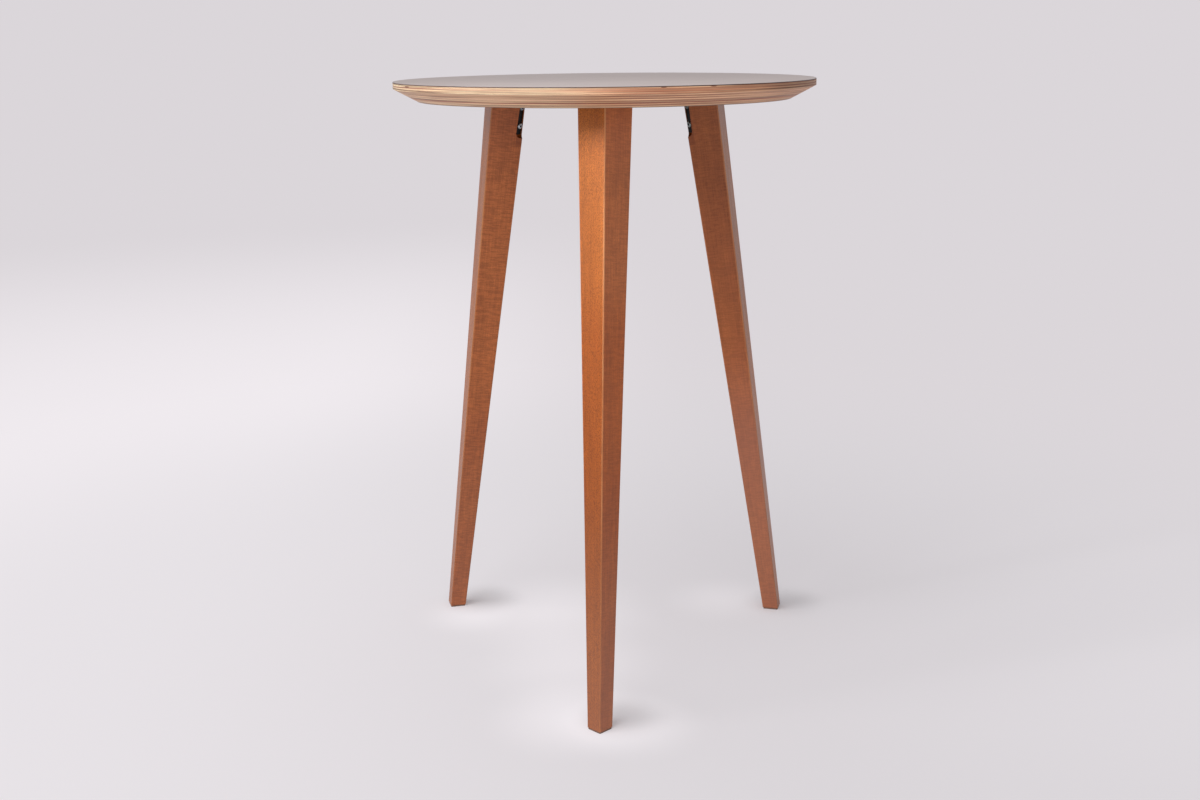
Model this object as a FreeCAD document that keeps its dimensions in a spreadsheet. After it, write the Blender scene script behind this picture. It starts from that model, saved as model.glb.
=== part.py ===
import FreeCAD, Part
import math
import os
import Sketcher

# High table with three legs. Millimetres, +Z up, origin on the floor under the centre of the round top.
# One leg stands towards -Y, the other two at thirds of a turn from it.

Vector = FreeCAD.Vector
Placement = FreeCAD.Placement
Rotation = FreeCAD.Rotation
AXIS_X = Vector(1, 0, 0)
AXIS_Y = Vector(0, 1, 0)
AXIS_Z = Vector(0, 0, 1)

# Driving dimensions, in millimetres and degrees
SIZES = {
    # Board: plywood core between two thin sheets
    "table_height": 1005,
    "top_diameter": 700,
    "laminate_thickness": 1,
    "laminate_edge_chamfer": 0.3,
    "core_thickness": 30,
    "backing_thickness": 1,
    "edge_band_height": 10,
    "bevel_inset": 40,
    # Legs: straight tapered bars of square section, one corner outwards
    "leg_top_side": 61,
    "leg_foot_side": 29,
    "leg_edge_radius": 2,
    "leg_centre_radius": 196.5,
    "leg_splay_angle": 9.1,
    "foot_side_shift": 18,
    # Slot in a leg's inner corner, a little wider and longer than the bracket's arm
    "slot_depth": 13,
    "slot_side_clearance": 0.5,
    "slot_end_clearance": 6,
    # Glides under the feet, each held by a countersunk wood screw
    "glide_thickness": 3,
    "glide_inset": 0.8,
    "glide_corner_radius": 2,
    "glide_screw_diameter": 3,
    "glide_screw_length": 16,
    "glide_screw_point": 3,
    "glide_screw_head_diameter": 5.4,
    "glide_screw_recess": 0.6,
    "glide_screw_slot_length": 3,
    "glide_screw_slot_width": 0.7,
    "glide_screw_slot_depth": 0.8,
    "glide_screw_clearance": 0.1,
    "pilot_hole_depth": 16,
    # Angle brackets, bent from flat bar
    "bracket_width": 14,
    "bracket_thickness": 3,
    "bracket_leg_arm": 64,
    "bracket_top_arm": 62,
    "bracket_bend_radius": 3,
    "bracket_corner_radius": 4,
    "bolt_hole_clearance": 0.3,
    "leg_bolt_first": 17,
    "leg_bolt_pitch": 32,
    "top_bolt_first": 20,
    "top_bolt_pitch": 30,
    # Button-head bolts
    "bolt_diameter": 6,
    "bolt_length": 15,
    "bolt_tip_chamfer": 0.7,
    "bolt_head_diameter": 10.5,
    "bolt_head_height": 3.3,
    "bolt_head_rounding": 2.4,
    "socket_width": 4,
    "socket_depth": 2,
    # Threaded inserts and their holes
    "insert_diameter": 10,
    "insert_length": 13,
    "insert_collar_height": 1.5,
    "insert_rib_depth": 0.5,
    "insert_rib_width": 0.8,
    "insert_rib_pitch": 2.6,
    "insert_thread_clearance": 0.05,
    "insert_fit_clearance": 0.05,
    "insert_hole_depth": 15,
    # Length by which every cutting profile runs past the piece that it cuts
    "cut_overrun": 20,
}
LEG_SIDES = ("front", "back_right", "back_left")
BOLTS_PER_ARM = 2
INSERT_RIBS = 4
HEXAGON_SIDES = 6

document = FreeCAD.newDocument("high_table")
sheet = document.addObject("Spreadsheet::Sheet", "Sizes")
for row, (alias, number) in enumerate(SIZES.items(), start=1):
    sheet.set(f"A{row}", alias)
    sheet.set(f"B{row}", str(number))
    sheet.setAlias(f"B{row}", alias)
document.recompute()


class Size:
    """A length with the expression that gives it, so that each formula is written once."""

    def __init__(self, value, text):
        self.value = value
        self.text = text

    def __add__(self, other):
        return Size(self.value + other.value, f"({self.text} + {other.text})")

    def __sub__(self, other):
        return Size(self.value - other.value, f"({self.text} - {other.text})")

    def __mul__(self, other):
        other = share(other)
        return Size(self.value * other.value, f"({self.text} * {other.text})")

    def __truediv__(self, other):
        other = share(other)
        return Size(self.value / other.value, f"({self.text} / {other.text})")

    def __neg__(self):
        return Size(-self.value, f"(0 - {self.text})")


def share(number):
    """A plain ratio, ready to multiply a size."""
    if isinstance(number, Size):
        return number
    return Size(number, repr(float(number)))


def cell(alias):
    """The size that the sheet holds under this name."""
    return Size(float(sheet.get(alias)), f"Sizes.{alias}")


def cosine(angle):
    return Size(math.cos(math.radians(angle.value)), f"cos({angle.text})")


def sine(angle):
    return Size(math.sin(math.radians(angle.value)), f"sin({angle.text})")


ZERO = Size(0, "0")
ROOT_TWO = Size(math.sqrt(2), "sqrt(2)")
splay_cos = cosine(cell("leg_splay_angle"))
splay_sin = sine(cell("leg_splay_angle"))
splay_tan = splay_sin / splay_cos
overrun = cell("cut_overrun")


def origin_plane(body, role):
    """One of the three planes of a body's own origin."""
    return next(item for item in body.Origin.OriginFeatures if item.Role == role)


def add_body(label):
    body = document.addObject("PartDesign::Body", label)
    body.Label = label
    return body


def add_sketch(body, name, role, offset=ZERO):
    """Sketch on an origin plane, moved along the plane's normal by the offset."""
    sketch = body.newObject("Sketcher::SketchObject", f"{body.Name}_{name}")
    sketch.AttachmentSupport = [(origin_plane(body, role), "")]
    sketch.MapMode = "FlatFace"
    if offset.value != 0:
        sketch.AttachmentOffset = Placement(Vector(0, 0, offset.value), Rotation())
        sketch.setExpression("AttachmentOffset.Base.z", offset.text)
    return sketch


def hold_along(sketch, geometry, point, kind, size):
    """Holds a point of the sketch at its distance from the sketch's origin, across or up."""
    if size.text == ZERO.text:
        axis = -2 if kind == "DistanceX" else -1
        sketch.addConstraint(Sketcher.Constraint("PointOnObject", geometry, point, axis))
        return
    index = sketch.addConstraint(Sketcher.Constraint(kind, -1, 1, geometry, point, size.value))
    sketch.setExpression(f"Constraints[{index}]", size.text)


def hold(sketch, geometry, point, x, y):
    """Holds a point of the sketch both ways."""
    hold_along(sketch, geometry, point, "DistanceX", x)
    hold_along(sketch, geometry, point, "DistanceY", y)


def add_outline(sketch, corners):
    """Closed outline of straight sides, drawn through its corners."""
    count = len(corners)
    for index, (x, y) in enumerate(corners):
        next_x, next_y = corners[(index + 1) % count]
        start = Vector(x.value, y.value, 0)
        end = Vector(next_x.value, next_y.value, 0)
        sketch.addGeometry(Part.LineSegment(start, end), False)
    for index in range(count):
        sketch.addConstraint(Sketcher.Constraint("Coincident", index, 2, (index + 1) % count, 1))
    for index, (x, y) in enumerate(corners):
        hold(sketch, index, 1, x, y)


def add_circle(sketch, x, y, diameter):
    circle = Part.Circle(Vector(x.value, y.value, 0), AXIS_Z, diameter.value / 2)
    index = sketch.addGeometry(circle, False)
    limit = sketch.addConstraint(Sketcher.Constraint("Diameter", index, diameter.value))
    sketch.setExpression(f"Constraints[{limit}]", diameter.text)
    hold(sketch, index, 3, x, y)


def add_diamond(sketch, half_diagonal, centre_y=ZERO):
    """Square standing on one corner, its diagonals along the sketch's axes."""
    add_outline(sketch, [
        (half_diagonal, centre_y),
        (ZERO, centre_y + half_diagonal),
        (-half_diagonal, centre_y),
        (ZERO, centre_y - half_diagonal),
    ])


def pad(body, name, sketch, length, both_ways=False):
    feature = body.newObject("PartDesign::Pad", f"{body.Name}_{name}")
    feature.Profile = sketch
    feature.Midplane = both_ways
    feature.setExpression("Length", length.text)
    document.recompute()
    return feature


def revolve(body, name, sketch):
    """Full turn of the outline about the sketch's own vertical axis."""
    feature = body.newObject("PartDesign::Revolution", f"{body.Name}_{name}")
    feature.Profile = sketch
    feature.ReferenceAxis = (sketch, ["V_Axis"])
    feature.Angle = 360
    document.recompute()
    return feature


def pocket(body, name, sketch, depth=None, towards_normal=False):
    """Cut to a depth on one side of the sketch, or right through on both; it has to remove something."""
    before = body.Shape.Volume
    feature = body.newObject("PartDesign::Pocket", f"{body.Name}_{name}")
    feature.Profile = sketch
    feature.Reversed = towards_normal
    if depth is None:
        feature.Type = "ThroughAll"
        feature.Midplane = True
    else:
        feature.setExpression("Length", depth.text)
    document.recompute()
    if not body.Shape.Volume < before:
        raise RuntimeError(f"{feature.Name} removes nothing")
    return feature


def round_edges(body, name, radius, wanted):
    """Rounds the edges of the body's last feature for which wanted(edge) is true."""
    base = body.Tip
    edges = [f"Edge{number}" for number, edge in enumerate(base.Shape.Edges, start=1) if wanted(edge)]
    if not edges:
        raise RuntimeError(f"{body.Name}_{name} finds no edge")
    feature = body.newObject("PartDesign::Fillet", f"{body.Name}_{name}")
    feature.Base = (base, edges)
    feature.setExpression("Radius", radius.text)
    document.recompute()
    return feature


def is_straight(edge):
    return isinstance(edge.Curve, (Part.Line, Part.LineSegment))


def direction(edge):
    start, end = edge.Vertexes[0].Point, edge.Vertexes[-1].Point
    return (end - start).normalize()


def repeat_along(body, axis_role, pitch, count):
    """Repeats the whole body along one of its own axes."""
    axis = next(item for item in body.Origin.OriginFeatures if item.Role == axis_role)
    feature = body.newObject("PartDesign::LinearPattern", f"{body.Name}_row")
    feature.TransformMode = "Whole shape"
    feature.Direction = (axis, [""])
    feature.setExpression("Length", (pitch * (count - 1)).text)
    feature.Occurrences = count
    body.Tip = feature
    document.recompute()
    if len(body.Shape.Solids) != count:
        raise RuntimeError(f"{body.Name} has {len(body.Shape.Solids)} solids, not {count}")


# Places that several pieces share
top_radius = cell("top_diameter") / 2
underside_height = (
    cell("table_height") - cell("laminate_thickness") - cell("core_thickness") - cell("backing_thickness")
)
bevel_height = cell("core_thickness") + cell("backing_thickness") - cell("edge_band_height")
underside_radius = top_radius - cell("bevel_inset")
core_bottom_radius = underside_radius + cell("bevel_inset") * cell("backing_thickness") / bevel_height
bar_length = (underside_height - cell("glide_thickness")) / splay_cos
slot_floor = cell("leg_top_side") / ROOT_TWO - cell("slot_depth")
slot_corner_height = slot_floor * splay_tan
corner_radius = cell("leg_centre_radius") - slot_floor / splay_cos
slot_width = cell("bracket_width") + cell("slot_side_clearance") * 2
slot_length = cell("bracket_leg_arm") + cell("slot_end_clearance")
hole_in_bracket = cell("bolt_diameter") + cell("bolt_hole_clearance") * 2
hole_for_insert = cell("insert_diameter") + cell("insert_fit_clearance") * 2


def bolt_distances(arm):
    """Distances of an arm's bolts from the bracket's outer corner."""
    return [cell(f"{arm}_bolt_first") + cell(f"{arm}_bolt_pitch") * step for step in range(BOLTS_PER_ARM)]


def station(azimuth):
    """Turns a piece drawn at +X round to the azimuth of its leg."""
    return Placement(Vector(), Rotation(AXIS_Z, azimuth))


def leg_frame(azimuth):
    """Frame of a leg: origin at its middle on the underside, Z up along the bar, X outwards."""
    seat = Vector(cell("leg_centre_radius").value, 0, underside_height.value)
    return station(azimuth) * Placement(seat, Rotation(AXIS_Y, -cell("leg_splay_angle").value))


def bracket_frame(azimuth):
    """Frame of a bracket: origin at the corner of the slot's floor and the underside, X outwards, Z up."""
    return station(azimuth) * Placement(Vector(corner_radius.value, 0, underside_height.value), Rotation())


def arm_frame(azimuth, arm):
    """Frame on an arm's outer face: Z out of the wood, X along the arm towards the corner."""
    if arm == "leg":
        turn = Rotation(AXIS_Y, -90 - cell("leg_splay_angle").value)
    else:
        turn = Rotation(AXIS_X, 180)
    return bracket_frame(azimuth) * Placement(Vector(), turn)


# Board: plywood core with a bevelled edge, and six blind holes for the inserts
def make_core():
    body = add_body("tabletop_core")
    profile = add_sketch(body, "profile", "XZ_Plane")
    band_bottom = cell("core_thickness") - cell("edge_band_height")
    add_outline(profile, [
        (ZERO, ZERO),
        (core_bottom_radius, ZERO),
        (top_radius, band_bottom),
        (top_radius, cell("core_thickness")),
        (ZERO, cell("core_thickness")),
    ])
    revolve(body, "board", profile)
    holes = add_sketch(body, "hole_pair", "XY_Plane")
    for distance in bolt_distances("top"):
        add_circle(holes, ZERO, distance - corner_radius, hole_for_insert)
    depth = cell("insert_hole_depth") - cell("backing_thickness")
    drilled = pocket(body, "insert_holes", holes, depth, towards_normal=True)
    repeat_at_legs(body, drilled)
    body.Placement = Placement(Vector(0, 0, (underside_height + cell("backing_thickness")).value), Rotation())
    return body


def repeat_at_legs(body, feature):
    """Repeats the front leg's holes at all the legs."""
    before = body.Shape.Volume
    pattern = body.newObject("PartDesign::PolarPattern", f"{body.Name}_at_legs")
    pattern.Originals = [feature]
    pattern.Axis = (next(item for item in body.Origin.OriginFeatures if item.Role == "Z_Axis"), [""])
    pattern.Angle = 360
    pattern.Occurrences = len(LEG_SIDES)
    body.Tip = pattern
    document.recompute()
    if not body.Shape.Volume < before:
        raise RuntimeError(f"{pattern.Name} removes nothing")


# Laminate on the board, its upper edge slightly eased
def make_laminate():
    body = add_body("top_laminate")
    outline = add_sketch(body, "outline", "XY_Plane")
    add_circle(outline, ZERO, ZERO, cell("top_diameter"))
    sheet_pad = pad(body, "sheet", outline, cell("laminate_thickness"))
    upper = max(range(len(sheet_pad.Shape.Edges)), key=lambda i: edge_height(sheet_pad.Shape.Edges[i]))
    chamfer = body.newObject("PartDesign::Chamfer", "top_laminate_eased_edge")
    chamfer.Base = (sheet_pad, [f"Edge{upper + 1}"])
    chamfer.setExpression("Size", cell("laminate_edge_chamfer").text)
    document.recompute()
    height = cell("table_height") - cell("laminate_thickness")
    body.Placement = Placement(Vector(0, 0, height.value), Rotation())
    return body


def edge_height(edge):
    """Height of a round edge, with the straight seam between two of them kept out."""
    return -math.inf if is_straight(edge) else edge.CenterOfMass.z


# Balancing sheet on the underside; the bevel runs on through its edge
def make_backing():
    body = add_body("backing_laminate")
    profile = add_sketch(body, "profile", "XZ_Plane")
    add_outline(profile, [
        (ZERO, ZERO),
        (underside_radius, ZERO),
        (core_bottom_radius, cell("backing_thickness")),
        (ZERO, cell("backing_thickness")),
    ])
    revolve(body, "sheet", profile)
    holes = add_sketch(body, "hole_pair", "XY_Plane")
    for distance in bolt_distances("top"):
        add_circle(holes, ZERO, distance - corner_radius, hole_for_insert)
    drilled = pocket(body, "insert_holes", holes, cell("backing_thickness"), towards_normal=True)
    repeat_at_legs(body, drilled)
    body.Placement = Placement(Vector(0, 0, underside_height.value), Rotation())
    return body


# Leg: a long taper drawn past both ends, its long edges rounded, cut level at the board and at the floor,
# then slotted for the bracket and drilled for the inserts
def half_diagonal_at(height):
    """Half the bar's diagonal, at a height along the bar from the underside."""
    taper = (cell("leg_top_side") - cell("leg_foot_side")) / bar_length
    return (cell("leg_top_side") + taper * height) / ROOT_TWO


def add_level_cut(body, name, level, outwards):
    """Cuts the bar along a level plane that meets its middle line at this height along the bar."""
    reach = cell("leg_top_side")
    far = level + overrun * outwards * 2
    sketch = add_sketch(body, f"{name}_outline", "XZ_Plane")
    add_outline(sketch, [
        (-reach, level + reach * splay_tan),
        (reach, level - reach * splay_tan),
        (reach, far),
        (-reach, far),
    ])
    pocket(body, name, sketch)


def add_slot(body):
    """Slot in the inner corner, open at the top and round at its lower end."""
    half_width = slot_width / 2
    round_centre = slot_corner_height - slot_length + half_width
    upper = slot_corner_height + overrun
    sketch = add_sketch(body, "slot_outline", "YZ_Plane", -slot_floor)
    points = [(-half_width, upper), (-half_width, round_centre), (half_width, round_centre), (half_width, upper)]
    left_top, left_low, right_low, right_top = [Vector(x.value, y.value, 0) for x, y in points]
    circle = Part.Circle(Vector(0, round_centre.value, 0), AXIS_Z, half_width.value)
    sketch.addGeometry(Part.LineSegment(left_top, left_low), False)
    sketch.addGeometry(Part.ArcOfCircle(circle, math.pi, 2 * math.pi), False)
    sketch.addGeometry(Part.LineSegment(right_low, right_top), False)
    sketch.addGeometry(Part.LineSegment(right_top, left_top), False)
    for first in range(4):
        sketch.addConstraint(Sketcher.Constraint("Coincident", first, 2, (first + 1) % 4, 1))
    hold(sketch, 0, 1, *points[0])
    hold(sketch, 0, 2, *points[1])
    hold_along(sketch, 1, 3, "DistanceY", round_centre)
    hold(sketch, 2, 1, *points[2])
    hold(sketch, 2, 2, *points[3])
    pocket(body, "slot", sketch, cell("slot_depth") + overrun)


def add_pilot_hole(body):
    """Upright hole in the foot for the glide's screw."""
    sketch = add_sketch(body, "pilot_hole_outline", "XY_Plane")
    foot = Vector(0, -cell("foot_side_shift").value, -bar_length.value)
    sketch.AttachmentOffset = Placement(foot, Rotation(AXIS_Y, cell("leg_splay_angle").value))
    sketch.setExpression("AttachmentOffset.Base.y", (-cell("foot_side_shift")).text)
    sketch.setExpression("AttachmentOffset.Base.z", (-bar_length).text)
    sketch.setExpression("AttachmentOffset.Rotation.Angle", cell("leg_splay_angle").text)
    add_circle(sketch, ZERO, ZERO, cell("glide_screw_diameter") + cell("glide_screw_clearance") * 2)
    pocket(body, "pilot_hole", sketch, cell("pilot_hole_depth"), towards_normal=True)


def make_leg(side, azimuth):
    body = add_body(f"leg_{side}")
    ends = {"upper": overrun, "lower": -(bar_length + overrun)}
    sections = {}
    for name, height in ends.items():
        sections[name] = add_sketch(body, f"{name}_section", "XY_Plane", height)
        centre_y = cell("foot_side_shift") * height / bar_length
        add_diamond(sections[name], half_diagonal_at(height), centre_y)
    taper = body.newObject("PartDesign::AdditiveLoft", f"{body.Name}_taper")
    taper.Profile = sections["upper"]
    taper.Sections = [sections["lower"]]
    taper.Ruled = True
    document.recompute()
    round_edges(body, "long_edges", cell("leg_edge_radius"), lambda edge: abs(direction(edge).z) > 0.9)
    add_level_cut(body, "board_end", ZERO, 1)
    add_level_cut(body, "floor_end", -bar_length, -1)
    add_slot(body)
    holes = add_sketch(body, "hole_pair", "YZ_Plane", -slot_floor)
    for distance in bolt_distances("leg"):
        add_circle(holes, ZERO, slot_corner_height - distance, hole_for_insert)
    pocket(body, "insert_holes", holes, cell("insert_hole_depth"), towards_normal=True)
    add_pilot_hole(body)
    body.Placement = leg_frame(azimuth)
    return body


def foot_placement(azimuth):
    """Frame on the floor under the middle of a foot, X outwards."""
    foot = leg_frame(azimuth).multVec(Vector(0, -cell("foot_side_shift").value, -bar_length.value))
    return Placement(Vector(foot.x, foot.y, 0), Rotation(AXIS_Z, azimuth))


# Glide under a foot: the foot's own section less a small margin, countersunk from below for its screw
def make_glide(side, azimuth):
    body = add_body(f"foot_glide_{side}")
    outline = add_sketch(body, "outline", "XY_Plane")
    add_diamond(outline, (cell("leg_foot_side") / 2 - cell("glide_inset")) * ROOT_TWO)
    pad(body, "block", outline, cell("glide_thickness"))
    round_edges(body, "corners", cell("glide_corner_radius"), lambda edge: abs(direction(edge).z) > 0.9)
    shank = cell("glide_screw_diameter") / 2 + cell("glide_screw_clearance")
    mouth = cell("glide_screw_head_diameter") / 2 + cell("glide_screw_clearance") + cell("glide_screw_recess")
    hole = add_sketch(body, "screw_hole_outline", "XZ_Plane")
    add_outline(hole, [
        (ZERO, ZERO),
        (mouth, ZERO),
        (shank, mouth - shank),
        (shank, cell("glide_thickness")),
        (ZERO, cell("glide_thickness")),
    ])
    before = body.Shape.Volume
    groove = body.newObject("PartDesign::Groove", f"{body.Name}_screw_hole")
    groove.Profile = hole
    groove.ReferenceAxis = (hole, ["V_Axis"])
    groove.Angle = 360
    document.recompute()
    if not body.Shape.Volume < before:
        raise RuntimeError(f"{groove.Name} removes nothing")
    body.Placement = foot_placement(azimuth)
    return body


# Wood screw up through the glide into the foot, its head just clear of the floor, with a cross slot
def make_glide_screw(side, azimuth):
    body = add_body(f"glide_screw_{side}")
    shank = cell("glide_screw_diameter") / 2
    head = cell("glide_screw_head_diameter") / 2
    length = cell("glide_screw_length")
    profile = add_sketch(body, "profile", "XZ_Plane")
    add_outline(profile, [
        (ZERO, ZERO),
        (head, ZERO),
        (shank, head - shank),
        (shank, length - cell("glide_screw_point")),
        (ZERO, length),
    ])
    revolve(body, "turned_blank", profile)
    near = cell("glide_screw_slot_width") / 2
    far = cell("glide_screw_slot_length") / 2
    cross = add_sketch(body, "cross_outline", "XY_Plane")
    add_outline(cross, [
        (far, near), (near, near), (near, far),
        (-near, far), (-near, near), (-far, near),
        (-far, -near), (-near, -near), (-near, -far),
        (near, -far), (near, -near), (far, -near),
    ])
    pocket(body, "cross_slot", cross, cell("glide_screw_slot_depth"), towards_normal=True)
    lift = Placement(Vector(0, 0, cell("glide_screw_recess").value), Rotation())
    body.Placement = foot_placement(azimuth) * lift
    return body


# Angle bracket: one arm lies on the slot's floor, the other flat under the board
def make_bracket(side, azimuth):
    body = add_body(f"bracket_{side}")
    plate = cell("bracket_thickness")
    leg_arm = cell("bracket_leg_arm")
    top_arm = cell("bracket_top_arm")
    half_width = cell("bracket_width") / 2
    inner_corner = (plate * (splay_tan - share(1) / splay_cos), -plate)
    profile = add_sketch(body, "profile", "XZ_Plane")
    add_outline(profile, [
        (ZERO, ZERO),
        (leg_arm * splay_sin, -(leg_arm * splay_cos)),
        (leg_arm * splay_sin - plate * splay_cos, -(leg_arm * splay_cos + plate * splay_sin)),
        inner_corner,
        (-top_arm, -plate),
        (-top_arm, ZERO),
    ])
    pad(body, "bar", profile, cell("bracket_width"), both_ways=True)

    def at_bend(edge, x, z):
        middle = edge.CenterOfMass
        return abs(direction(edge).y) > 0.9 and math.hypot(middle.x - x, middle.z - z) < plate.value / 4

    bend = cell("bracket_bend_radius")
    inner_x, inner_z = inner_corner[0].value, inner_corner[1].value
    round_edges(body, "inner_bend", bend, lambda edge: at_bend(edge, inner_x, inner_z))
    round_edges(body, "outer_bend", bend + plate, lambda edge: is_straight(edge) and at_bend(edge, 0, 0))

    def at_tip(edge):
        middle = edge.CenterOfMass
        beside = abs(abs(middle.y) - half_width.value) < plate.value / 4
        across_plate = is_straight(edge) and abs(edge.Length - plate.value) < plate.value / 4
        return across_plate and beside and abs(direction(edge).y) < 0.1

    round_edges(body, "tip_corners", cell("bracket_corner_radius"), at_tip)

    leg_holes = add_sketch(body, "leg_arm_holes", "YZ_Plane")
    leg_holes.AttachmentOffset = Placement(Vector(), Rotation(-AXIS_X, cell("leg_splay_angle").value))
    leg_holes.setExpression("AttachmentOffset.Rotation.Angle", cell("leg_splay_angle").text)
    for distance in bolt_distances("leg"):
        add_circle(leg_holes, ZERO, -distance, hole_in_bracket)
    pocket(body, "leg_arm_drilling", leg_holes, plate + overrun)
    top_holes = add_sketch(body, "top_arm_holes", "XY_Plane")
    for distance in bolt_distances("top"):
        add_circle(top_holes, -distance, ZERO, hole_in_bracket)
    pocket(body, "top_arm_drilling", top_holes, plate + overrun)
    body.Placement = bracket_frame(azimuth)
    return body


# Bolts of one arm: button heads on the bracket's inner face, shanks in the inserts
def make_bolts(arm, side, azimuth):
    body = add_body(f"{arm}_bolts_{side}")
    shank = cell("bolt_diameter") / 2
    head = cell("bolt_head_diameter") / 2
    tip = -cell("bolt_length")
    height = cell("bolt_head_height")
    profile = add_sketch(body, "profile", "XZ_Plane")
    add_outline(profile, [
        (ZERO, height),
        (head, height),
        (head, ZERO),
        (shank, ZERO),
        (shank, tip + cell("bolt_tip_chamfer")),
        (shank - cell("bolt_tip_chamfer"), tip),
        (ZERO, tip),
    ])
    revolve(body, "turned_blank", profile)

    def at_head_rim(edge):
        return not is_straight(edge) and abs(edge.CenterOfMass.z - height.value) < height.value / 10

    round_edges(body, "button_head", cell("bolt_head_rounding"), at_head_rim)
    socket = add_sketch(body, "socket", "XY_Plane", height)
    reach = cell("socket_width") / 2 / math.cos(math.pi / HEXAGON_SIDES)
    angles = [2 * math.pi * (step + 0.5) / HEXAGON_SIDES for step in range(HEXAGON_SIDES)]
    add_outline(socket, [(reach * math.cos(angle), reach * math.sin(angle)) for angle in angles])
    pocket(body, "hexagon_socket", socket, cell("socket_depth"))
    repeat_along(body, "X_Axis", cell(f"{arm}_bolt_pitch"), BOLTS_PER_ARM)
    farthest = bolt_distances(arm)[-1].value
    seat = Vector(-farthest, 0, cell("bracket_thickness").value)
    body.Placement = arm_frame(azimuth, arm) * Placement(seat, Rotation())
    return body


# Threaded inserts of one arm: ribbed sleeves, flush with the wood
def make_inserts(arm, side, azimuth):
    body = add_body(f"{arm}_inserts_{side}")
    bore = cell("bolt_diameter") / 2 + cell("insert_thread_clearance")
    rib_radius = cell("insert_diameter") / 2
    root_radius = rib_radius - cell("insert_rib_depth")
    corners = [(bore, ZERO), (rib_radius, ZERO), (rib_radius, -cell("insert_collar_height"))]
    depth = cell("insert_collar_height")
    for _ in range(INSERT_RIBS):
        rib_top = depth + cell("insert_rib_pitch") - cell("insert_rib_width")
        depth = depth + cell("insert_rib_pitch")
        corners += [(root_radius, -(rib_top - cell("insert_rib_depth"))), (rib_radius, -rib_top)]
        corners += [(rib_radius, -depth)]
    corners += [(root_radius, -cell("insert_length")), (bore, -cell("insert_length"))]
    profile = add_sketch(body, "profile", "XZ_Plane")
    add_outline(profile, corners)
    revolve(body, "sleeve", profile)
    repeat_along(body, "X_Axis", cell(f"{arm}_bolt_pitch"), BOLTS_PER_ARM)
    farthest = bolt_distances(arm)[-1].value
    body.Placement = arm_frame(azimuth, arm) * Placement(Vector(-farthest, 0, 0), Rotation())
    return body


pieces = [make_core(), make_laminate(), make_backing()]
for turn, side in enumerate(LEG_SIDES):
    azimuth = 360 * turn / len(LEG_SIDES) - 90
    pieces += [make_leg(side, azimuth), make_bracket(side, azimuth)]
    pieces += [make_glide(side, azimuth), make_glide_screw(side, azimuth)]
    for arm in ("leg", "top"):
        pieces += [make_bolts(arm, side, azimuth), make_inserts(arm, side, azimuth)]
document.recompute()

# Nothing is written unless every object is sound
for item in document.Objects:
    if "Invalid" in item.State or "Error" in item.State:
        raise RuntimeError(f"{item.Label} failed: {item.State}")
for piece in pieces:
    if piece.Shape.isNull() or not piece.Shape.isValid():
        raise RuntimeError(f"{piece.Label} has no valid shape")

os.makedirs("parts", exist_ok=True)
for piece in pieces:
    piece.Shape.exportStep(f"parts/{piece.Label}.step")
    box = piece.Shape.BoundBox
    print(
        f"{piece.Label}: {len(piece.Shape.Solids)} solid(s), {piece.Shape.Volume / 1000:.2f} cm3, "
        f"X {box.XMin:.1f} to {box.XMax:.1f}, Y {box.YMin:.1f} to {box.YMax:.1f}, Z {box.ZMin:.1f} to {box.ZMax:.1f}"
    )
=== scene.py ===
import math

import bmesh
import bpy
from mathutils import Euler, Matrix, Vector

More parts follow.
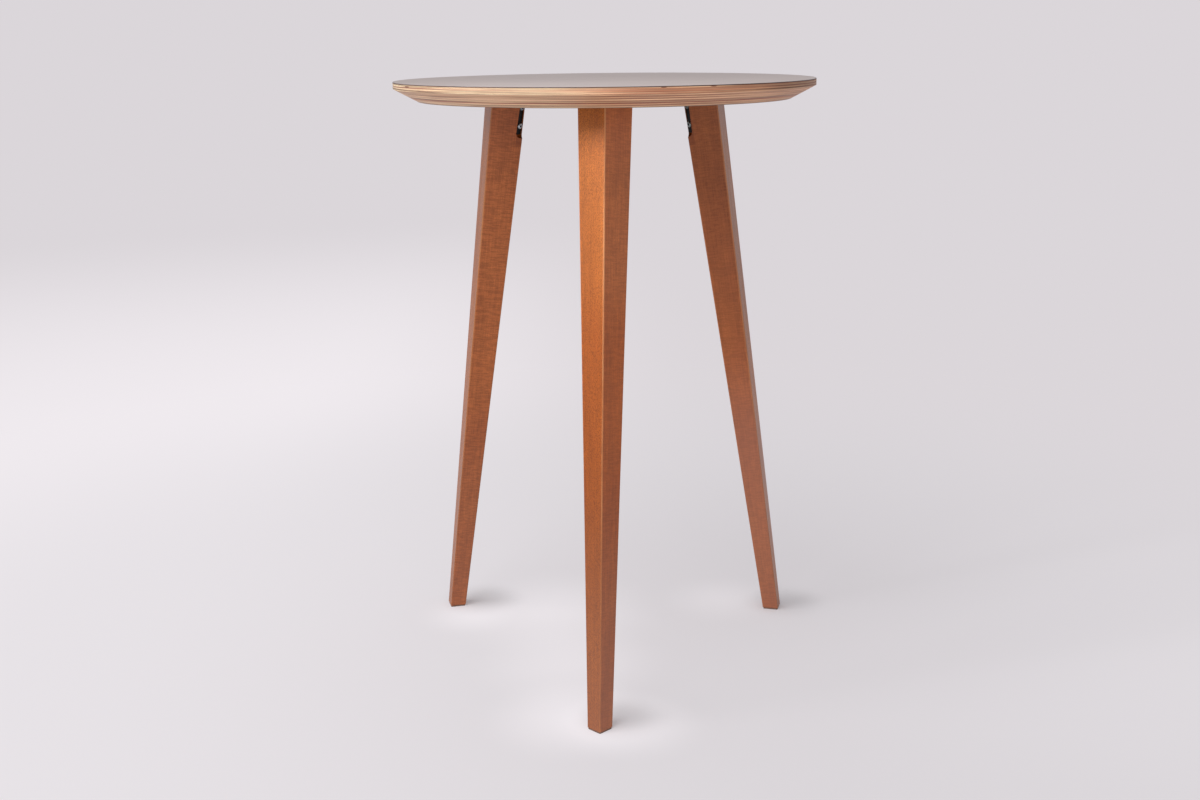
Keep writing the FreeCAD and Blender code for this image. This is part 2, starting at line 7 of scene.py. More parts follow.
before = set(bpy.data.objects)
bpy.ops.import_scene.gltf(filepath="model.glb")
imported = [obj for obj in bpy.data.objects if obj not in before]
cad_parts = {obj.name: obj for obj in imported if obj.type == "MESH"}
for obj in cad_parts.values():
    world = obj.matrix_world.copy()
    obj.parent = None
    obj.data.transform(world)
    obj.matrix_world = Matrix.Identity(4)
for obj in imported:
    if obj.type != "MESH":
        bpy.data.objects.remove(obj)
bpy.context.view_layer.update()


# Top sheet
# The real piece is a millimetre of high-pressure laminate, grey-taupe and matt, glued to the board.
# Its routed edge shows the sheet's dark core as a fine line under the coloured face.
class Finish:
    """A surface finish whose colour, gloss and relief are worked out from the place on the piece."""

    def __init__(self, name, **sockets):
        self.material = bpy.data.materials.new(name)
        self.material.use_nodes = True
        self.nodes = self.material.node_tree.nodes
        self.links = self.material.node_tree.links
        self.shader = self.nodes["Principled BSDF"]
        for socket, value in sockets.items():
            self.shader.inputs[socket.replace("_", " ")].default_value = value

    def add(self, kind, values, **settings):
        """New node; each value is a constant, or an output that is linked in."""
        node = self.nodes.new(kind)
        for setting, choice in settings.items():
            setattr(node, setting, choice)
        for socket, value in values.items():
            if isinstance(value, bpy.types.NodeSocket):
                self.links.new(value, node.inputs[socket])
            else:
                node.inputs[socket].default_value = value
        return node

    def place(self):
        """The place on the piece, in metres in the table's own frame."""
        return self.add("ShaderNodeTexCoord", {}).outputs["Object"]

    def axes(self, vector):
        split = self.add("ShaderNodeSeparateXYZ", {"Vector": vector})
        return [split.outputs[axis] for axis in "XYZ"]

    def point(self, x, y, z):
        return self.add("ShaderNodeCombineXYZ", {"X": x, "Y": y, "Z": z}).outputs["Vector"]

    def reckon(self, operation, first, second=0.0):
        """One step of arithmetic on constants or outputs."""
        return self.add("ShaderNodeMath", {0: first, 1: second}, operation=operation).outputs["Value"]

    def plus(self, first, second):
        return self.reckon("ADD", first, second)

    def minus(self, first, second):
        return self.reckon("SUBTRACT", first, second)

    def times(self, first, second):
        return self.reckon("MULTIPLY", first, second)

    def distance(self, vector, spot):
        node = self.add("ShaderNodeVectorMath", {0: vector, 1: spot}, operation="DISTANCE")
        return node.outputs["Value"]

    def stretched(self, vector, scales):
        node = self.add("ShaderNodeVectorMath", {0: vector, 1: scales}, operation="MULTIPLY")
        return node.outputs["Vector"]

    def noise(self, vector, scales, detail=2.0, roughness=0.5, distortion=0.0):
        """Soft noise from 0 to 1, with its cells per metre given for each axis."""
        values = {
            "Vector": self.stretched(vector, scales), "Scale": 1.0, "Detail": detail,
            "Roughness": roughness, "Distortion": distortion,
        }
        return self.add("ShaderNodeTexNoise", values).outputs["Fac"]

    def ramp(self, value, low, high, start=0.0, end=1.0):
        """Smooth step from start to end as the value goes from low to high."""
        values = {"Value": value, "From Min": low, "From Max": high, "To Min": start, "To Max": end}
        return self.add("ShaderNodeMapRange", values, interpolation_type="SMOOTHSTEP").outputs["Result"]

    def mix(self, factor, first, second, way="MIX"):
        """Two colours, each a constant or an output, mixed by a share from 0 to 1."""
        node = self.add("ShaderNodeMix", {"Factor": factor}, data_type="RGBA", blend_type=way)
        for socket, colour in (("A", first), ("B", second)):
            target = next(s for s in node.inputs if s.name == socket and s.type == "RGBA")
            if isinstance(colour, bpy.types.NodeSocket):
                self.links.new(colour, target)
            else:
                target.default_value = (*colour, 1.0)
        return next(s for s in node.outputs if s.type == "RGBA")

    def shade(self, colour, factor):
        """The colour made lighter or darker by a factor that varies over the surface."""
        node = self.add("ShaderNodeVectorMath", {0: colour, "Scale": factor}, operation="SCALE")
        return node.outputs["Vector"]

    def wear(self, colour=None, roughness=None, height=None, depth=0.0001, strength=0.5):
        """Connects the colour, the gloss and the relief to the shader."""
        if colour is not None:
            self.links.new(colour, self.shader.inputs["Base Color"])
        if roughness is not None:
            self.links.new(roughness, self.shader.inputs["Roughness"])
        if height is not None:
            bump = self.add("ShaderNodeBump", {"Height": height, "Distance": depth, "Strength": strength})
            self.links.new(bump.outputs["Normal"], self.shader.inputs["Normal"])

    def give(self, node_name):
        """Puts the finish on a piece."""
        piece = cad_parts[node_name]
        piece.data.materials.clear()
        piece.data.materials.append(self.material)


TABLE_HEIGHT = 1.005
FACE_DEPTH = 0.00015
LAMINATE_FACE = (0.412, 0.351, 0.332)
LAMINATE_CORE = (0.022, 0.015, 0.012)

laminate = Finish("laminate_matt_taupe", Specular_IOR_Level=0.4)
place = laminate.place()
x, y, z = laminate.axes(place)
cloud = laminate.noise(place, (9, 9, 9), detail=3)
speckle = laminate.noise(place, (1400, 1400, 1400), detail=2)
pearl = laminate.noise(place, (420, 420, 420), detail=3, roughness=0.65)
tone = laminate.ramp(cloud, 0.3, 0.7, 0.965, 1.03)
tone = laminate.plus(tone, laminate.ramp(speckle, 0.3, 0.7, -0.03, 0.03))
# Painted light: the sheet is lighter to the left, where the light falls, and darker to the right.
tone = laminate.plus(tone, laminate.ramp(x, -0.3, 0.3, 0.07, -0.05))
edge_line = laminate.ramp(laminate.minus(TABLE_HEIGHT, z), 0.0, FACE_DEPTH)
laminate.wear(
    colour=laminate.mix(edge_line, laminate.shade(LAMINATE_FACE, tone), LAMINATE_CORE),
    roughness=laminate.ramp(cloud, 0.2, 0.8, 0.48, 0.52),
    height=pearl, depth=0.00006, strength=0.6,
)
laminate.give("top_laminate")


# Plywood board
# Seventeen beech veneers glued crosswise. The edge is turned to a short upright band and a long bevel,
# sanded and clear-lacquered, and the cut shows each veneer's fibres as long thin lenses and stripes.
BOARD_RADIUS = 0.35
CORE_BOTTOM = 0.974
CORE_THICKNESS = 0.030
CORE_TOP = CORE_BOTTOM + CORE_THICKNESS
BEVEL_HEIGHT = 0.020
BAND_BOTTOM = CORE_BOTTOM + BEVEL_HEIGHT
BAND_FADE = 0.0005
SHEET_GLUE_DEPTH = 0.0009
SHEET_GLUE_FADE = 0.0005
GRAIN_RADIUS = 0.36
PLY_COUNT = 17
PLY_OFFSET = 0.37
LONG_GRAIN = (0.87, 0.555, 0.335)
END_GRAIN = (0.45, 0.180, 0.093)
SAPWOOD = (0.66, 0.615, 0.415)
LATE_WOOD = (0.27, 0.072, 0.040)
GLUE_LINE = (0.15, 0.045, 0.024)
HEARTWOOD_PLIES = {3: 0.75, 9: 0.2, 12: 0.3, 14: 0.55}
# Open gaps in the core, painted dark as the shade inside them: azimuth in degrees, height and half the
# length.
CORE_VOIDS = ((-152, 1.0012, 0.011), (-76, 1.0031, 0.006), (-63, 1.0031, 0.0065))
VOID_FLATNESS = 9
VOID_DARK_SHARE = 0.6

plywood = Finish("plywood_lacquered_edge", Specular_IOR_Level=0.2)
place = plywood.place()
x, y, z = plywood.axes(place)
on_band = plywood.ramp(z, BAND_BOTTOM - BAND_FADE, BAND_BOTTOM + BAND_FADE)

# Every second veneer has its grain turned by a quarter.
layer = plywood.times(plywood.minus(z, CORE_BOTTOM), PLY_COUNT / CORE_THICKNESS)
ply = plywood.reckon("FLOOR", layer)
in_ply = plywood.reckon("FRACT", layer)
swap = plywood.times(plywood.reckon("MODULO", ply, 2.0), plywood.minus(y, x))
along = plywood.plus(x, swap)
across = plywood.minus(y, swap)
veneer = plywood.point(along, across, plywood.plus(z, plywood.times(ply, PLY_OFFSET)))
radius = plywood.reckon("SQRT", plywood.plus(plywood.times(x, x), plywood.times(y, y)))
facing = plywood.reckon("DIVIDE", along, radius)
end_share = plywood.ramp(plywood.times(facing, facing), 0.15, 0.85)
ply_tone = plywood.add("ShaderNodeTexWhiteNoise", {"W": ply}, noise_dimensions="1D").outputs["Value"]


def rim_grain(along_rim, down, inward, **settings):
    """Grain that runs round the rim: its cells per metre along it, down it and towards the middle."""
    round_rim = plywood.reckon("DIVIDE", GRAIN_RADIUS * along_rim, radius)
    round_x = plywood.times(x, round_rim)
    round_y = plywood.times(y, round_rim)
    curl = plywood.point(round_x, round_y, plywood.times(z, down))
    values = {"Vector": curl, "W": plywood.times(radius, inward), "Scale": 1.0, **settings}
    return plywood.add("ShaderNodeTexNoise", values, noise_dimensions="4D").outputs["Fac"]


fibres = rim_grain(6, 900, 120, Detail=3.0, Roughness=0.7)
lenses = rim_grain(4, 620, 30, Detail=2.0, Roughness=0.55)
wander = rim_grain(4, 90, 20, Detail=2.0)
cracks = rim_grain(4, 800, 60, Detail=1.0)
stripes = rim_grain(5, 520, 40, Detail=1.0)
pores = plywood.noise(veneer, (900, 1600, 1600), detail=1)

# The wood's colour: face grain or end grain, pale sapwood, dark late wood, fine cracks and heartwood plies.
# The pale sapwood is partly painted light: it lies to the left, where the light falls, and more on the
# band.
wood = plywood.mix(plywood.times(end_share, 0.85), LONG_GRAIN, END_GRAIN)
sapwood_and_painted_light = plywood.times(plywood.ramp(x, -0.12, 0.05), plywood.ramp(on_band, 0.0, 1.0, -0.3, -0.6))
sapwood_and_painted_light = plywood.plus(plywood.ramp(on_band, 0.0, 1.0, 0.3, 0.6), sapwood_and_painted_light)
wood = plywood.mix(sapwood_and_painted_light, wood, SAPWOOD)
wood = plywood.mix(plywood.ramp(fibres, 0.3, 0.62, 0.5, 0.0), wood, LATE_WOOD)
wood = plywood.mix(plywood.ramp(lenses, 0.56, 0.63, 0.0, 0.55), wood, LATE_WOOD)
cracked = plywood.ramp(cracks, 0.6, 0.65, 0.0, 0.75)
cracked = plywood.times(cracked, plywood.ramp(on_band, 0.0, 1.0, 1.0, 0.45))
wood = plywood.mix(cracked, wood, GLUE_LINE)
for number, share in HEARTWOOD_PLIES.items():
    in_this_ply = plywood.reckon("COMPARE", ply, number)
    wood = plywood.mix(plywood.times(in_this_ply, share), wood, LATE_WOOD)

# How light the wood is, by veneer and by fibre. From one side of the board to the other, on band and bevel
# apart, it is painted light and shade: lighter on the left and middle, where the light falls, darker to the
# right.
tone = plywood.ramp(ply_tone, 0.0, 1.0, 0.80, 1.12)
tone = plywood.plus(tone, plywood.ramp(fibres, 0.3, 0.7, -0.1, 0.16))
tone = plywood.plus(tone, plywood.ramp(wander, 0.35, 0.65, -0.05, 0.05))
tone = plywood.plus(tone, plywood.times(on_band, plywood.ramp(stripes, 0.38, 0.62, -0.26, 0.18)))
tone = plywood.minus(tone, plywood.times(end_share, plywood.ramp(pores, 0.55, 0.75, 0.0, 0.2)))
band_painted_light = plywood.ramp(x, -0.14, 0.06, 0.94, 1.25)
band_painted_light = plywood.plus(band_painted_light, plywood.ramp(x, 0.09, 0.33, 0.0, -0.64))
bevel_painted_light = plywood.ramp(x, -0.17, 0.0, 1.17, 0.95)
bevel_painted_light = plywood.plus(bevel_painted_light, plywood.ramp(x, 0.12, 0.2, 0.0, -0.04))
painted_light = plywood.plus(bevel_painted_light, plywood.times(on_band, plywood.minus(band_painted_light, bevel_painted_light)))
wood = plywood.shade(wood, plywood.times(tone, painted_light))

# Dark lines of glue between the veneers and under the top sheet, and painted shade for the open gaps in the
# core.
from_glue = plywood.reckon("MINIMUM", in_ply, plywood.minus(1.0, in_ply))
glue = plywood.ramp(from_glue, 0.03, 0.12, 0.55, 0.0)
sheet_glue_bottom = CORE_TOP - SHEET_GLUE_DEPTH
sheet_glue = plywood.ramp(z, sheet_glue_bottom, sheet_glue_bottom + SHEET_GLUE_FADE, 0.0, 0.85)
gap = plywood.reckon("MAXIMUM", glue, sheet_glue)
flattened = plywood.stretched(place, (1, 1, VOID_FLATNESS))
for azimuth, height, half_length in CORE_VOIDS:
    turn = math.radians(azimuth)
    middle = (BOARD_RADIUS * math.cos(turn), BOARD_RADIUS * math.sin(turn), height * VOID_FLATNESS)
    from_void = plywood.distance(flattened, middle)
    void = plywood.ramp(from_void, half_length * VOID_DARK_SHARE, half_length, 0.95, 0.0)
    gap = plywood.reckon("MAXIMUM", gap, void)
plywood.wear(
    colour=plywood.mix(gap, wood, GLUE_LINE),
    roughness=plywood.ramp(fibres, 0.3, 0.7, 0.42, 0.56),
    height=plywood.minus(fibres, glue), depth=0.00012, strength=0.5,
)
plywood.give("tabletop_core")


# Balancing sheet
# The underside has a plain brown laminate, glued on before the edge is turned, so that the board
# stays flat under the top sheet.
BACKING_BROWN = (0.235, 0.15, 0.10)

backing = Finish("backing_brown_laminate", Roughness=0.6, Specular_IOR_Level=0.35)
place = backing.place()
sanding = backing.noise(place, (40, 900, 900), detail=3, roughness=0.6)
cloud = backing.noise(place, (6, 6, 6), detail=3)
tone = backing.ramp(sanding, 0.3, 0.7, 0.93, 1.07)
tone = backing.plus(tone, backing.ramp(cloud, 0.3, 0.7, -0.05, 0.05))
backing.wear(
    colour=backing.shade(BACKING_BROWN, tone),
    roughness=backing.ramp(sanding, 0.3, 0.7, 0.54, 0.66),
    height=sanding, depth=0.00006, strength=0.5,
)
backing.give("backing_laminate")


# Legs
# Tapered square bars of beech, stained reddish brown under a satin lacquer. The grain runs down each bar:
# two faces are flat-sawn, with short flecks, the other two are plainer. The stain is thin on the arrises,
# where a painted highlight also lies.
LEG_SEAT = Vector((0.1965, 0.0, 0.973))
LEG_SPLAY = math.radians(9.1)
LEG_LENGTH = 0.98236
LEG_TOP_SIDE = 0.061
LEG_FOOT_SIDE = 0.029
FOOT_SIDE_SHIFT = 0.018
SLOT_HALF_WIDTH = 0.0077
SLOT_INNER_SIDE = -0.022
SLOT_BOTTOM = -0.08
SLOT_FADE = 0.001
SLOT_SIDE_FADE = 0.0003
FACE_BLEND = 0.001
ARRIS_MARK_NEAR = 0.0009
ARRIS_MARK_FAR = 0.0017
STAIN_DARK = (0.19, 0.042, 0.011)
STAIN_MIDDLE = (0.38, 0.100, 0.022)
STAIN_LIGHT = (0.47, 0.133, 0.028)
THIN_STAIN_AND_HIGHLIGHT = (0.62, 0.27, 0.11)
FLECK_BROWN = (0.235, 0.060, 0.011)
FOOT_PAINTED_REFLECTION = (0.35, 0.17, 0.13)
FLAT_TINT = (1.03, 1.045, 0.61)
PLAIN_TINT = (0.95, 0.97, 1.27)
LOW_SHADE_TINT = (0.90, 0.75, 0.50)

# What differs from leg to leg. Heights count from the leg's top, so they are negative. Over the first reach
# the tone goes from the first value of the pair after it to the second, as painted light and shade near the
# top.
# Over the second reach the painted reflection of the floor on the foot fades out from the value after it.
# Depth is how strongly the bar is painted darker low down, as painted shade; the next value is how bare the
# arrises are and how strong their painted highlight is; figure is how strong the ripples are.
LEG_WOOD = {
    "front": {
        "flat_sawn": -1.0, "painted_light_reach": (-0.13, -0.03), "painted_light": (1.0, 1.27),
        "painted_reflection_reach": (-0.98, -0.55), "painted_reflection": 0.3, "depth": 1.0, "rubbing_and_highlight": 1.0, "figure": 0.09,
    },
    "back_right": {
        "flat_sawn": -1.0, "painted_light_reach": (-0.61, -0.33), "painted_light": (1.05, 0.785),
        "painted_reflection_reach": (-0.65, -0.42), "painted_reflection": 0.36, "depth": 0.0, "rubbing_and_highlight": 0.6, "figure": 0.11,
    },
    "back_left": {
        "flat_sawn": 1.0, "painted_light_reach": (-0.5, -0.1), "painted_light": (1.02, 1.02),
        "painted_reflection_reach": (-0.98, -0.45), "painted_reflection": 0.16, "depth": 0.0, "rubbing_and_highlight": 0.6, "figure": 0.15,
    },
}
LEG_SIDES = tuple(LEG_WOOD)


def leg_azimuth(side):
    """The direction in which a leg stands; the first leg is the front one."""
    return math.radians(360 / len(LEG_SIDES) * LEG_SIDES.index(side) - 90)


def stained_beech(side, flat_sawn, painted_light_reach, painted_light, painted_reflection_reach, painted_reflection, depth, rubbing_and_highlight, figure):
    """Stained beech on one leg, its grain turned along the bar; flat_sawn tells which pair of faces is."""
    finish = Finish(f"stained_beech_{side}", Specular_IOR_Level=0.38)
    azimuth = leg_azimuth(side)
    lean = math.atan2(FOOT_SIDE_SHIFT, LEG_LENGTH)
    turn = {
        "Vector": finish.place(),
        "Location": Matrix.Rotation(azimuth, 4, "Z") @ LEG_SEAT,
        "Rotation": Euler((-lean, -LEG_SPLAY, azimuth)),
    }
    bar = finish.add("ShaderNodeMapping", turn, vector_type="TEXTURE").outputs["Vector"]
    x, y, z = finish.axes(bar)

    # The timber's own directions: through its flat-sawn faces, through its plainer ones, and down the bar.
    through_flat = finish.plus(x, finish.times(y, flat_sawn))
    through_flat = finish.reckon("DIVIDE", through_flat, math.sqrt(2))
    through_plain = finish.minus(y, finish.times(x, flat_sawn))
    through_plain = finish.reckon("DIVIDE", through_plain, math.sqrt(2))
    timber = finish.point(through_flat, through_plain, z)
    from_core = finish.reckon("ABSOLUTE", through_flat)
    nearer_flat = finish.minus(from_core, finish.reckon("ABSOLUTE", through_plain))
    on_flat_sawn = finish.ramp(nearer_flat, -FACE_BLEND, FACE_BLEND)
    fibres = finish.noise(timber, (900, 900, 16), detail=2)
    streaks = finish.noise(timber, (150, 150, 3.5), detail=2)
    flecks = finish.noise(timber, (760, 760, 420), detail=2, roughness=0.65, distortion=0.5)
    ripple = finish.noise(timber, (60, 60, 420), detail=2, roughness=0.6)
    mottle = finish.noise(timber, (130, 130, 60), detail=2, distortion=0.4)
    cloud = finish.noise(timber, (12, 12, 4), detail=2)

    # The stained colour and its tone, with painted shade low on the bar and a painted reflection of the
    # floor on the foot.
    wood = finish.mix(finish.ramp(cloud, 0.28, 0.72), STAIN_MIDDLE, STAIN_LIGHT)
    wood = finish.mix(finish.ramp(mottle, 0.4, 0.7, 0.0, 0.12), wood, STAIN_DARK)
    flecked = finish.times(finish.ramp(flecks, 0.49, 0.58), finish.ramp(on_flat_sawn, 0.0, 1.0, 0.3, 1.0))
    tint = finish.mix(on_flat_sawn, PLAIN_TINT, FLAT_TINT)
    wood = finish.mix(1.0, finish.mix(flecked, wood, FLECK_BROWN), tint, "MULTIPLY")
    rippled = finish.ramp(ripple, 0.38, 0.62, -figure, figure)
    rippled = finish.times(rippled, finish.ramp(on_flat_sawn, 0.0, 1.0, 1.0, 0.25))
    tone = finish.ramp(fibres, 0.35, 0.65, 0.9, 1.1)
    tone = finish.plus(tone, finish.ramp(streaks, 0.3, 0.7, -0.05, 0.05))
    tone = finish.plus(tone, rippled)
    # Painted light and shade: the tone changes with height, lighter at the top of the front leg and darker
    # on the upper part of the back right leg.
    wood = finish.shade(wood, finish.times(tone, finish.ramp(z, *painted_light_reach, *painted_light)))
    # Painted shade: the bar is made darker and redder below its upper part, less so towards the foot.
    low_painted_shade = finish.ramp(z, -0.38, -0.24, depth, 0.0)
    low_painted_shade = finish.times(low_painted_shade, finish.ramp(z, -0.95, -0.5, 0.2, 1.0))
    wood = finish.mix(low_painted_shade, wood, LOW_SHADE_TINT, "MULTIPLY")
    # Painted reflection of the pale floor: the bar turns paler and greyer towards the foot.
    wood = finish.mix(finish.ramp(z, *painted_reflection_reach, painted_reflection, 0.0), wood, FOOT_PAINTED_REFLECTION)

    # The arrises, where sanding has thinned the stain, also carry a painted highlight, stronger towards the
    # top.
    squares = finish.plus(finish.times(x, x), finish.times(y, y))
    taper = (LEG_TOP_SIDE - LEG_FOOT_SIDE) / LEG_LENGTH / math.sqrt(2)
    corner = finish.plus(LEG_TOP_SIDE / math.sqrt(2), finish.times(z, taper))
    to_arris = finish.minus(corner, finish.reckon("SQRT", squares))
    rubbed_and_highlit = finish.ramp(finish.noise(timber, (60, 60, 9), detail=2), 0.3, 0.7, 0.3, 0.75)
    rubbed_and_highlit = finish.times(rubbed_and_highlit, finish.ramp(z, -0.9, -0.2, 0.35 * rubbing_and_highlight, 1.3 * rubbing_and_highlight))
    arris = finish.times(finish.ramp(to_arris, ARRIS_MARK_NEAR, ARRIS_MARK_FAR, 1.0, 0.0), rubbed_and_highlit)
    wood = finish.mix(arris, wood, THIN_STAIN_AND_HIGHLIGHT)

    # The milled slot, painted darker inside as painted shade.
    from_middle = finish.reckon("ABSOLUTE", y)
    in_width = finish.ramp(from_middle, SLOT_HALF_WIDTH, SLOT_HALF_WIDTH + SLOT_SIDE_FADE, 1.0, 0.0)
    inner_side = finish.ramp(x, SLOT_INNER_SIDE, SLOT_INNER_SIDE + SLOT_FADE, 1.0, 0.0)
    near_top = finish.ramp(z, SLOT_BOTTOM, SLOT_BOTTOM + SLOT_FADE)
    in_slot = finish.times(finish.times(in_width, inner_side), near_top)
    wood = finish.mix(finish.times(in_slot, 0.5), wood, STAIN_DARK)

    finish.wear(
        colour=wood,
        roughness=finish.ramp(streaks, 0.3, 0.7, 0.34, 0.42),
        height=finish.minus(fibres, finish.ramp(flecks, 0.48, 0.6)), depth=0.00005, strength=0.4,
    )
    return finish


for side in LEG_SIDES:
    stained_beech(side, **LEG_WOOD[side]).give(f"leg_{side}")


# Angle brackets
# Bent from flat steel bar and powder-coated black, with the faint orange peel of the coat. Each lies in its
# leg's slot and against the underside of the board.
POWDER_BLACK = (0.003, 0.003, 0.003)

powder_coat = Finish("powder_coat_black", Base_Color=(*POWDER_BLACK, 1.0), Specular_IOR_Level=0.1)
place = powder_coat.place()
peel = powder_coat.noise(place, (1200, 1200, 1200), detail=2)
powder_coat.wear(
    roughness=powder_coat.ramp(powder_coat.noise(place, (90, 90, 90)), 0.3, 0.7, 0.5, 0.62),
    height=peel, depth=0.00008, strength=0.5,
)
for side in LEG_SIDES:
    powder_coat.give(f"bracket_{side}")


# Bolts, glide screws and threaded inserts
# Zinc-plated steel with a cool tint, painted darker as shade on the back right leg and under the board,
# and dull zinc alloy for the inserts. The hexagon sockets of the bolts are painted dark, as painted shade.
ZINC_PLATE = (0.44, 0.47, 0.50)
PAINTED_SHADE_ZINC = (0.22, 0.25, 0.245)
PAINTED_SHADE_SIDE = "back_right"
ZINC_ALLOY = (0.42, 0.42, 0.40)
SOCKET_SHADE = (0.012, 0.016, 0.024)
PLATE_GLOSS = 0.3
ALLOY_GLOSS = 0.4
BRACKET_CORNER = Vector((0.165982, 0.0, 0.973))
BOLT_PLACES = {"leg": (0.017, 0.049), "top": (0.020, 0.050)}
ARM_TURNS = {"leg": ("Y", -math.pi / 2 - LEG_SPLAY), "top": ("X", math.pi)}
BEND_SHADE_START = -0.036
BEND_SHADE_END = -0.030
SOCKET_REACH = 0.0024
SOCKET_FLOOR = 0.0041
SOCKET_FADE = 0.0001


def painted_socket_shade(finish, plate, arm_place, bolt_places):
    """The plate's colour on one arm's bolts, with painted shade in the sockets and on the head near the
    bend.
    """
    turn = {"Vector": finish.place(), "Location": arm_place.translation, "Rotation": arm_place.to_euler()}
    mapping = finish.add("ShaderNodeMapping", turn, vector_type="TEXTURE")
    x, y, z = finish.axes(mapping.outputs["Vector"])
    on_arm = finish.point(x, y, 0.0)
    distances = [finish.distance(on_arm, (-from_bend, 0.0, 0.0)) for from_bend in bolt_places]
    from_axis = finish.reckon("MINIMUM", *distances)
    near_axis = finish.ramp(from_axis, SOCKET_REACH, SOCKET_REACH + SOCKET_FADE, 1.0, 0.0)
    above_floor = finish.ramp(z, SOCKET_FLOOR, SOCKET_FLOOR + SOCKET_FADE)
    # Painted shade: the head by the bend, under the board, is made dimmer.
    plate = finish.shade(plate, finish.ramp(x, BEND_SHADE_START, BEND_SHADE_END, 1.0, 0.5))
    return finish.mix(finish.times(near_axis, above_floor), plate, SOCKET_SHADE)


def turned_metal(name, colour, gloss, sockets=None):
    """Plated metal: blotches of a slightly different tint, and roughness that wanders with them."""
    finish = Finish(name, Metallic=1.0)
    place = finish.place()
    blotch = finish.noise(place, (300, 300, 300), detail=3)
    grit = finish.noise(place, (2500, 2500, 2500), detail=1)
    plate = finish.shade(colour, finish.ramp(blotch, 0.3, 0.7, 0.85, 1.08))
    if sockets:
        plate = painted_socket_shade(finish, plate, *sockets)
    finish.wear(
        colour=plate,
        roughness=finish.ramp(blotch, 0.3, 0.7, gloss, gloss + 0.12),
        height=grit, depth=0.00003, strength=0.4,
    )
    return finish


zinc_plate = turned_metal("zinc_plated_steel", ZINC_PLATE, PLATE_GLOSS)
zinc_alloy = turned_metal("zinc_alloy_insert", ZINC_ALLOY, ALLOY_GLOSS)
for side in LEG_SIDES:
    corner_place = Matrix.Rotation(leg_azimuth(side), 4, "Z") @ Matrix.Translation(BRACKET_CORNER)
    for arm, (axis, angle) in ARM_TURNS.items():
        # Painted shade: the bolts on the back right leg and under the board get a darker copy of the plate.
        plate = ZINC_PLATE if arm == "leg" and side != PAINTED_SHADE_SIDE else PAINTED_SHADE_ZINC
        sockets = (corner_place @ Matrix.Rotation(angle, 4, axis), BOLT_PLACES[arm])
        bolt_plate = turned_metal(f"zinc_plated_bolts_{arm}_{side}", plate, PLATE_GLOSS, sockets)
        bolt_plate.give(f"{arm}_bolts_{side}")
        zinc_alloy.give(f"{arm}_inserts_{side}")
    zinc_plate.give(f"glide_screw_{side}")


# Glides
# Small blocks of dark brown plastic, screwed under the feet, dusty and a little scuffed where they slide
# over the floor.
GLIDE_BROWN = (0.185, 0.095, 0.062)
SCUFF_BROWN = (0.25, 0.185, 0.145)

glide_plastic = Finish("glide_dark_plastic", Specular_IOR_Level=0.4)
place = glide_plastic.place()
scuffs = glide_plastic.noise(place, (260, 260, 700), detail=3, roughness=0.65)
worn = glide_plastic.ramp(scuffs, 0.45, 0.7, 0.0, 0.7)
glide_plastic.wear(
    colour=glide_plastic.mix(worn, GLIDE_BROWN, SCUFF_BROWN),
    roughness=glide_plastic.ramp(scuffs, 0.3, 0.7, 0.5, 0.72),
    height=scuffs, depth=0.0001, strength=0.5,
)
for side in LEG_SIDES:
    glide_plastic.give(f"foot_glide_{side}")


# Floor and backdrop
# A seamless pale studio of matt paper: the floor runs out into a backdrop of the same tone, painted a
# little lighter to the left, where the light falls. Painted pools of light lie around the feet, and beside
# each foot the lamps' shadow shows more strongly, deepened there as painted shade.
FLOOR_RADIUS = 14.0
FLOOR_SEGMENTS = 96
BACKDROP = (0.708, 0.673, 0.701)
FLOOR_LEFT = (0.875, 0.833, 0.865)
FLOOR_RIGHT = (0.71, 0.673, 0.70)
FLOOR_ALBEDO = (0.86, 0.835, 0.86)
# The pale spots: the middle of each, how far it reaches and how much lighter it is.
LIGHT_POOLS = (
    ((-0.06, -0.31, 0.0), 0.17, 0.26),
    ((-0.07, -0.10, 0.0), 0.20, 0.17),
    ((0.03, -0.34, 0.0), 0.14, 0.24),
    ((-0.11, 0.15, 0.0), 0.24, 0.20),
    ((-0.27, 0.13, 0.0), 0.11, 0.16),
    ((0.22, 0.20, 0.0), 0.14, 0.14),
)
# The shade beside each foot: how far out it lies, its offset, the radii over which it fades, its strength.
SHADE_REACH = 0.3425
SHADE_OFFSET = Vector((0.038, 0.028, 0.0))
SHADE_RADII = (0.02, 0.095)
SHADE_STRENGTH = 0.46


def seen_directly(finish):
    """One for rays that show the studio itself: from the camera, or by way of gloss or glass."""
    path = finish.add("ShaderNodeLightPath", {})
    shiny = finish.reckon("MAXIMUM", path.outputs["Is Glossy Ray"], path.outputs["Is Transmission Ray"])
    return finish.reckon("MAXIMUM", path.outputs["Is Camera Ray"], shiny)


studio = Finish(
    "studio_floor_paper", Base_Color=(*FLOOR_ALBEDO, 1.0), Roughness=1.0, Specular_IOR_Level=0.0
)
place = studio.place()
x, y, z = studio.axes(place)
from_middle = studio.distance(place, (0.0, 0.0, 0.0))
paper = studio.mix(studio.ramp(x, -1.0, 0.45), FLOOR_LEFT, FLOOR_RIGHT)
paper = studio.mix(studio.ramp(from_middle, 1.6, 6.5), paper, BACKDROP)
# Painted light: the pools make the paper lighter around the feet.
for spot, reach, gain in LIGHT_POOLS:
    paper = studio.shade(paper, studio.ramp(studio.distance(place, spot), 0.0, reach, 1.0 + gain, 1.0))
glow = studio.add("ShaderNodeEmission", {"Color": paper, "Strength": 1.0})

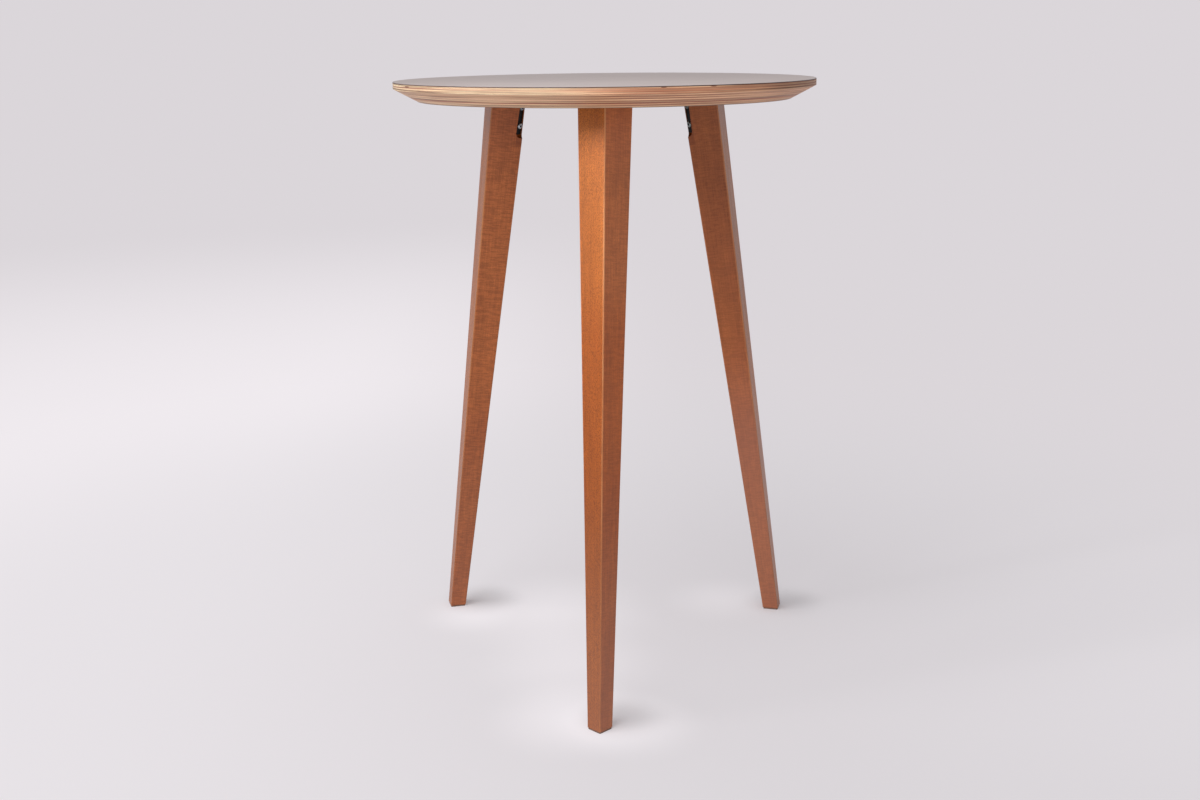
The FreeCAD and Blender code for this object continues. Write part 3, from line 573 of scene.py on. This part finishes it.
# The paper shows its own even tone, and less of it near the table and in the shades, where shadows fall.
from_shade = 1.0
for side in LEG_SIDES:
    foot = Matrix.Rotation(leg_azimuth(side), 4, "Z") @ Vector((SHADE_REACH, -FOOT_SIDE_SHIFT, 0.0))
    from_shade = studio.reckon("MINIMUM", studio.distance(place, foot + SHADE_OFFSET), from_shade)
near_foot = studio.ramp(from_shade, *SHADE_RADII, SHADE_STRENGTH, 0.0)
even = studio.minus(studio.ramp(from_middle, 0.9, 2.3, 0.6, 1.0), near_foot)
even = studio.times(seen_directly(studio), even)
blend = studio.add(
    "ShaderNodeMixShader", {0: even, 1: studio.shader.outputs["BSDF"], 2: glow.outputs["Emission"]}
)
studio.links.new(blend.outputs["Shader"], studio.nodes["Material Output"].inputs["Surface"])

floor_mesh = bpy.data.meshes.new("studio_floor")
sheet = bmesh.new()
bmesh.ops.create_circle(sheet, cap_ends=True, radius=FLOOR_RADIUS, segments=FLOOR_SEGMENTS)
sheet.to_mesh(floor_mesh)
sheet.free()
floor = bpy.data.objects.new("studio_floor", floor_mesh)
floor.data.materials.append(studio.material)
bpy.context.scene.collection.objects.link(floor)


# Air of the studio
# A weak cool light from all round fills the shadows. Where the air itself is seen, it has the
# backdrop's tone.
AMBIENT = (0.97, 0.98, 1.0)
AMBIENT_STRENGTH = 0.42


class Air(Finish):
    """The world's nodes, put together as a finish is."""

    def __init__(self, name):
        world = bpy.data.worlds.new(name)
        world.use_nodes = True
        bpy.context.scene.world = world
        self.nodes = world.node_tree.nodes
        self.links = world.node_tree.links


air = Air("studio_air")
ambient = air.nodes["Background"]
ambient.inputs["Color"].default_value = (*AMBIENT, 1.0)
ambient.inputs["Strength"].default_value = AMBIENT_STRENGTH
shown = air.add("ShaderNodeBackground", {"Color": (*BACKDROP, 1.0), "Strength": 1.0})
choice = air.add(
    "ShaderNodeMixShader",
    {0: seen_directly(air), 1: ambient.outputs["Background"], 2: shown.outputs["Background"]},
)
air.links.new(choice.outputs["Shader"], air.nodes["World Output"].inputs["Surface"])


# Studio lamps
# A softbox on the left, a little above the top and narrowed to it, and a broad weak one in front. A large
# diffuser over the left side gives the soft shadows.
DIFFUSER_DIRECTION = (0.53, 0.45, -0.72)
DIFFUSER_POWER = 1.62
DIFFUSER_WIDTH = math.radians(58)


def hang(name, lamp, direction):
    """Puts a lamp into the scene, pointing in a direction."""
    light = bpy.data.objects.new(name, lamp)
    light.rotation_euler = Vector(direction).to_track_quat("-Z", "Y").to_euler()
    bpy.context.scene.collection.objects.link(light)
    return light


def softbox(name, place, aim, size, power, spread):
    """A rectangular soft lamp at a place, turned to what it lights; its spread is in degrees."""
    lamp = bpy.data.lights.new(name, "AREA")
    lamp.shape = "RECTANGLE"
    lamp.size, lamp.size_y = size
    lamp.energy = power
    lamp.spread = math.radians(spread)
    light = hang(name, lamp, Vector(aim) - Vector(place))
    light.location = place
    light.visible_camera = False


softbox(
    "key_softbox", place=(-1.45, -0.80, 1.55), aim=(0.02, -0.38, 0.93),
    size=(0.4, 0.5), power=1.25, spread=32,
)
softbox(
    "front_softbox", place=(0.5, -3.4, 0.95), aim=(0.0, 0.0, 0.7),
    size=(1.8, 1.6), power=12.5, spread=180,
)
diffuser = bpy.data.lights.new("left_diffuser", "SUN")
diffuser.energy = DIFFUSER_POWER
diffuser.angle = DIFFUSER_WIDTH
hang("left_diffuser", diffuser, DIFFUSER_DIRECTION)


# Camera
# Placed by the fit of the table to the photograph, with a slight roll. The frame is 1200 by 800.
FRAME_WIDTH = 1200
FOCAL_LENGTH_PIXELS = 1497.0
CAMERA_PLACE = (-0.0103, -2.549, 1.0865)
CAMERA_TURN = 0.0010
CAMERA_PITCH = 0.2432
CAMERA_ROLL = -0.0105

camera_data = bpy.data.cameras.new("camera")
camera_data.sensor_width = 36.0
camera_data.lens = FOCAL_LENGTH_PIXELS / FRAME_WIDTH * camera_data.sensor_width
camera = bpy.data.objects.new("camera", camera_data)
view = Matrix.Rotation(CAMERA_TURN, 4, "Z") @ Matrix.Rotation(math.pi / 2 - CAMERA_PITCH, 4, "X")
view = view @ Matrix.Rotation(CAMERA_ROLL, 4, "Z")
camera.matrix_world = Matrix.Translation(CAMERA_PLACE) @ view
bpy.context.scene.collection.objects.link(camera)
bpy.context.scene.camera = camera
bpy.context.scene.view_settings.view_transform = "Standard"
